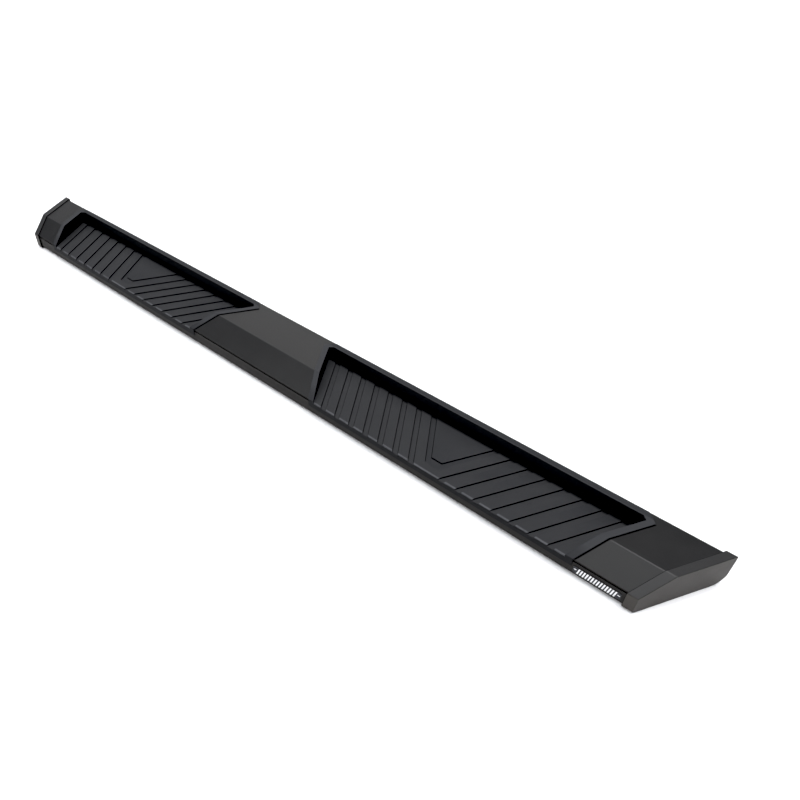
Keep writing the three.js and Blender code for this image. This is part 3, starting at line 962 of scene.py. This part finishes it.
def plated_steel(name, dark, light, rough):
    """Plated steel with a faint crystalline mottle and fine drawn scratches."""
    shader = Shader(name)
    mottle = shader.cells(420, "F1", "Color")
    tone = shader.between(mottle, 0.0, 1.0)
    scratches = shader.noise(900, 3.0, 0.7, shader.stretched((0.08, 1.0, 1.0)))
    base = shader.mix(tone, dark, light)
    colour = shader.mix(shader.edge_wear(0.52, 0.6), base, scaled(light, 1.5))
    roughness = shader.plus(shader.between(scratches, 0.3, 0.7, rough - 0.06, rough + 0.08),
                            shader.times(tone, 0.06))
    shader.bump([(scratches, 0.25, 0.00004)])
    return shader.finish(colour, roughness, metallic=1.0)


def brushed_aluminium():
    """Bright aluminium brushed along the board."""
    shader = Shader("brushed_aluminium")
    strokes = shader.noise(2600, 4.0, 0.7, shader.stretched((0.03, 1.0, 1.0)))
    base = shader.mix(shader.between(strokes, 0.3, 0.7), (0.62, 0.63, 0.64), (0.86, 0.86, 0.87))
    roughness = shader.between(strokes, 0.3, 0.7, 0.24, 0.4)
    shader.bump([(strokes, 0.3, 0.00003)])
    return shader.finish(base, roughness, metallic=1.0)


# ---- pieces --------------------------------------------------------------------------------


def place_piece(shape, name, body, slot, material, *nodes):
    """Scales a finished solid to metres, shades it, gives it its body and hides the CAD nodes it
    stands in for. Its slot is not used.
    """
    shape.name = name
    shape.data.name = name
    shape.data.transform(Matrix.Scale(MM, 4))
    shape.data.shade_smooth()
    shape.data.set_sharp_from_angle(angle=math.radians(32))
    normals = shape.modifiers.new("normals", "WEIGHTED_NORMAL")
    normals.keep_sharp = True
    normals.weight = 80
    shape.data.materials.clear()
    shape.data.materials.append(material)
    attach(shape, body)
    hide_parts(*nodes)
    return shape


def make_pieces():
    coat = powder_coat()
    # The trays carry painted shade and highlights.
    tray_plastic = moulded_plastic(
        "tray_plastic",
        dark=(0.0375, 0.0382, 0.0405),
        light=(0.0427, 0.0435, 0.0460),
        grain=760,
        rough=0.56,
        specular=0.10,
        light_and_shade=(tread_light_and_shade,),
    )
    # The caps carry painted side light, a painted knee highlight and a painted shadow in the joint.
    cap_plastic = moulded_plastic(
        "cap_plastic",
        dark=(0.0215, 0.0213, 0.0213),
        light=(0.0255, 0.0252, 0.0252),
        grain=900,
        rough=0.50,
        specular=0.46,
        light_and_shade=(paint_side_light, paint_knee_highlight),
        painted_shadow=joint_shadow,
    )
    black_steel = plated_steel(
        "black_plated_steel", dark=(0.035, 0.036, 0.039), light=(0.06, 0.061, 0.066), rough=0.34)
    zinc_steel = plated_steel(
        "zinc_plated_steel", dark=(0.42, 0.43, 0.45), light=(0.62, 0.63, 0.66), rough=0.3)
    aluminium = brushed_aluminium()

    place_piece(extrusion(), "extruded_body", "board", "coated_aluminium", coat, "board_extrusion")
    for end in ("rear", "front"):
        place_piece(step_tray(end), f"{end}_tray_moulding", "board", "tray_plastic", tray_plastic,
                    f"{end}_step_tray")
        place_piece(end_cap(end), f"{end}_cap_moulding", "board", "cap_plastic", cap_plastic,
                    f"{end}_end_cap")
    for node in screw_nodes("tray"):
        place_piece(tray_screw(node), f"{node}_detail", "board", "black_steel", black_steel, node)
    for node in screw_nodes("cap"):
        place_piece(cap_screw(node), f"{node}_detail", "board", "black_steel", black_steel, node)
    for body, nodes in frame["record"]["behaviour"]["bodies"].items():
        if body.startswith("nut_"):
            node = nodes[0]
            place_piece(slot_nut(node), f"{node}_detail", body, "zinc_steel", zinc_steel, node)
    place_piece(badge_plate(), "badge_plate", "board", "black_steel", black_steel, "name_badge")
    place_piece(badge_bars(), "badge_bars", "board", "badge_aluminium", aluminium, "name_badge")


# ---- stage, light and camera ---------------------------------------------------------------


def make_camera():
    """A camera at the reference viewing angle, from the outer side near the front end."""
    place = Vector((1.0843, -0.9196, 1.0642))
    heading, pitch, roll = -0.6298, 0.701, 0.0688
    forward = Vector((
        math.sin(heading) * math.cos(pitch),
        math.cos(heading) * math.cos(pitch),
        -math.sin(pitch),
    ))
    level = Vector((math.cos(heading), -math.sin(heading), 0))
    upright = level.cross(forward)
    right = level * math.cos(roll) + upright * math.sin(roll)
    up = upright * math.cos(roll) - level * math.sin(roll)
    data = bpy.data.cameras.new("camera")
    data.sensor_width = 36
    data.lens = 29.05
    data.clip_end = 200
    camera = bpy.data.objects.new("camera", data)
    bpy.context.scene.collection.objects.link(camera)
    rotation = Matrix((right, up, -forward)).transposed()
    camera.matrix_world = Matrix.Translation(place) @ rotation.to_4x4()
    bpy.context.scene.camera = camera


def make_floor():
    """A pale matte floor that fills the view."""
    shape = bmesh.new()
    bmesh.ops.create_grid(shape, x_segments=1, y_segments=1, size=40)
    mesh = bpy.data.meshes.new("floor")
    shape.to_mesh(mesh)
    shape.free()
    floor = bpy.data.objects.new("floor", mesh)
    bpy.context.scene.collection.objects.link(floor)
    shader = Shader("floor")
    tint = shader.mix(shader.noise(3, 2.0), (0.93, 0.93, 0.93), (0.95, 0.95, 0.95))
    rough = shader.between(shader.noise(20), 0, 1, 0.8, 0.9)
    mesh.materials.append(shader.finish(tint, rough, specular=0.1))


# Soft light from all round the studio: direction, how far round it the light spreads (cosine at
# its edge, cosine at its full strength), strength, colour.
STUDIO = (
    ((-0.55, 0.52, 0.65), 0.92, 0.99, 2.7, (1.0, 0.99, 0.97)),
    ((-0.30, 0.62, 0.72), 0.90, 0.99, 0.6, (0.98, 0.99, 1.0)),
    ((0.12, 0.14, 0.98), 0.94, 0.985, 9.5, (1.0, 1.0, 1.0)),
    ((-0.50, -0.70, 0.50), 0.95, 0.99, 5.0, (1.0, 1.0, 1.0)),
    ((-0.12, -0.35, 0.93), 0.84, 0.98, 2.9, (0.98, 0.99, 1.0)),
)
STUDIO_BASE = (0.085, 0.09, 0.125)
SWEEP = 0.95                   # brightness of the pale sweep that stands behind the floor
SWEEP_FULL = 0.15              # sine of the elevation where the sweep starts to fade
SWEEP_END = 0.34               # and where it has gone
GAMMA = 0.9
BLACK_LEVEL = 0.0175


def make_light():
    """The world: a dim base, the pale sweep low down, and the soft lights of STUDIO."""
    world = bpy.data.worlds.new("studio")
    bpy.context.scene.world = world
    world.use_nodes = True
    tree = world.node_tree
    direction = tree.nodes.new("ShaderNodeTexCoord").outputs["Generated"]

    def vector_math(operation, a, b):
        node = tree.nodes.new("ShaderNodeVectorMath")
        node.operation = operation
        for socket, value in zip(node.inputs, (a, b)):
            if isinstance(value, (tuple, Vector)):
                socket.default_value = value
            else:
                tree.links.new(value, socket)
        return node

    def ramp(value, low, high):
        """0 at `low` and 1 at `high`, easing in and out."""
        node = tree.nodes.new("ShaderNodeMapRange")
        node.interpolation_type = "SMOOTHSTEP"
        node.inputs["From Min"].default_value = low
        node.inputs["From Max"].default_value = high
        tree.links.new(value, node.inputs["Value"])
        return node.outputs["Result"]

    def dimmed(colour, amount):
        """A plain colour scaled by a node's output."""
        node = tree.nodes.new("ShaderNodeVectorMath")
        node.operation = "SCALE"
        node.inputs[0].default_value = colour
        tree.links.new(amount, node.inputs["Scale"])
        return node.outputs["Vector"]

    height = tree.nodes.new("ShaderNodeSeparateXYZ")
    tree.links.new(direction, height.inputs[0])
    sweep = dimmed((SWEEP,) * 3, ramp(height.outputs["Z"], SWEEP_END, SWEEP_FULL))
    total = vector_math("ADD", STUDIO_BASE, sweep).outputs["Vector"]
    for axis, edge, full, strength, colour in STUDIO:
        towards = Vector(axis).normalized()
        cosine = vector_math("DOT_PRODUCT", direction, towards).outputs["Value"]
        light = dimmed(tuple(strength * c for c in colour), ramp(cosine, edge, full))
        total = vector_math("ADD", total, light).outputs["Vector"]
    background = tree.nodes["Background"]
    tree.links.new(total, background.inputs["Color"])
    background.inputs["Strength"].default_value = 1.0


def set_tones():
    """Plain display colours, with slightly darker middle tones and deeper blacks."""
    view = bpy.context.scene.view_settings
    view.view_transform = "Standard"
    view.gamma = GAMMA
    view.use_curve_mapping = True
    view.curve_mapping.black_level = (BLACK_LEVEL,) * 3
    view.curve_mapping.update()


make_camera()
make_floor()
make_light()
set_tones()
make_pieces()

bpy.context.view_layer.update()
